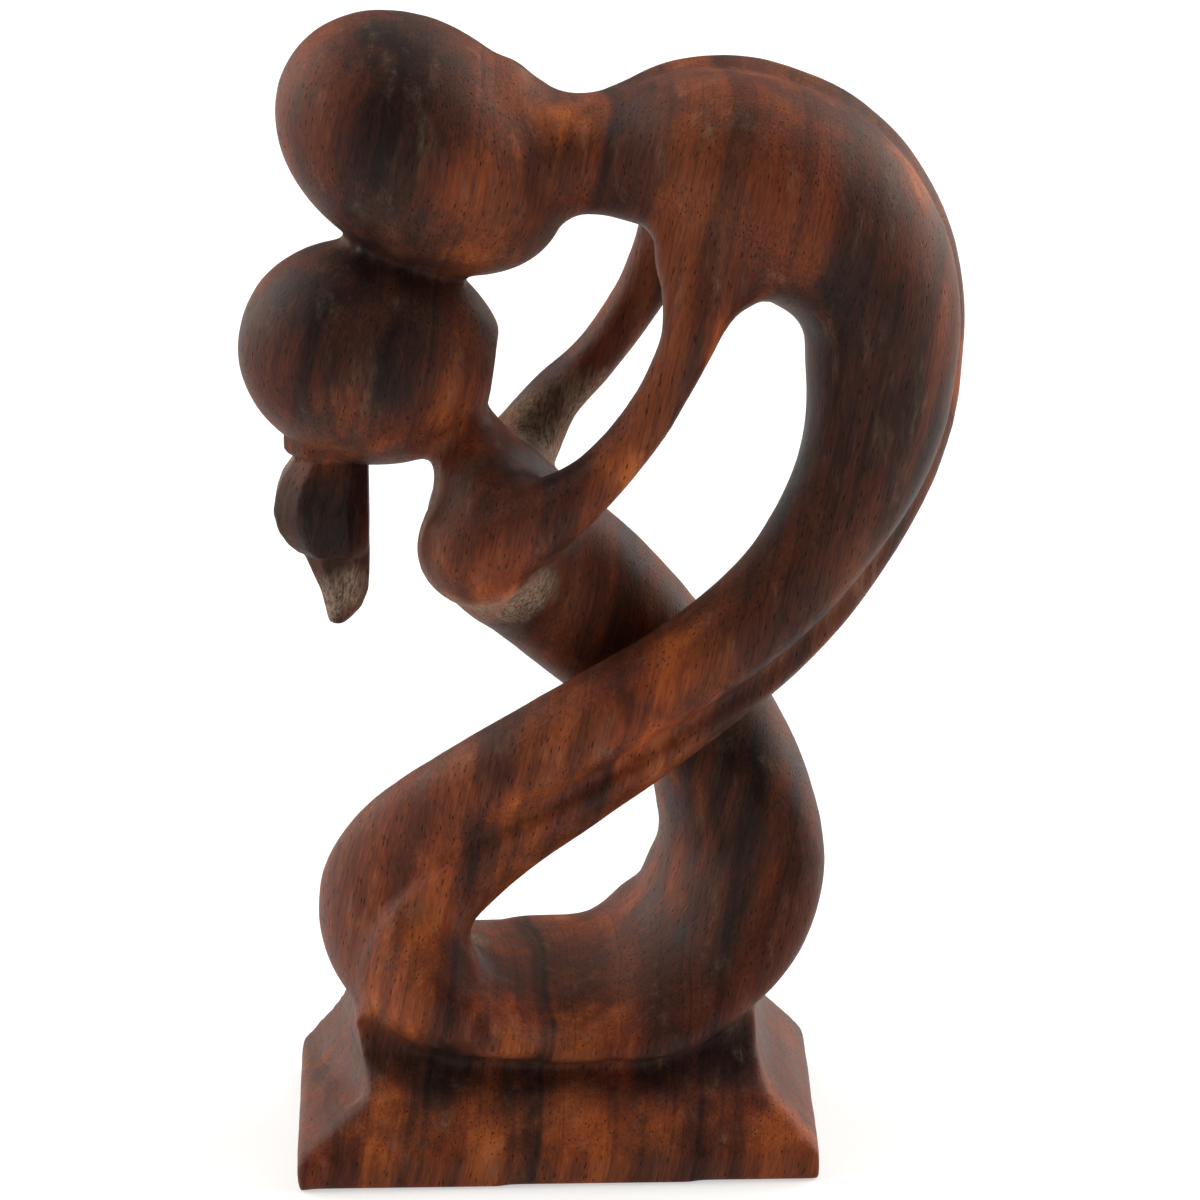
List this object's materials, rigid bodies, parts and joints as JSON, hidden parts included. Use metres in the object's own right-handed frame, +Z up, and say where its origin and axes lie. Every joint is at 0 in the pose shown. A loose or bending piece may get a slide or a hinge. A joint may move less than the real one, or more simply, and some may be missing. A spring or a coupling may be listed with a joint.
{
  "type": "embracing couple figure",
  "caption": "Carved wooden figure of an embracing, kissing couple with smooth egg-shaped heads, looped arms and legs twisted into a ring, standing on a low bevelled base.",
  "frame": {"origin": "middle of the flat underside of the base", "axes": "+Z up, out of the base and through the figures, +X along the base's long side towards the taller figure's back, +Y through the thin way of the figure, away from the side where the taller figure's leg crosses in front"},
  "size_m": [0.1237, 0.0597, 0.1995],
  "materials": {
    "wood": "satin"
  },
  "bodies": {
    "root": {"embracing_couple": "wood"}
  },
  "joints": []
}
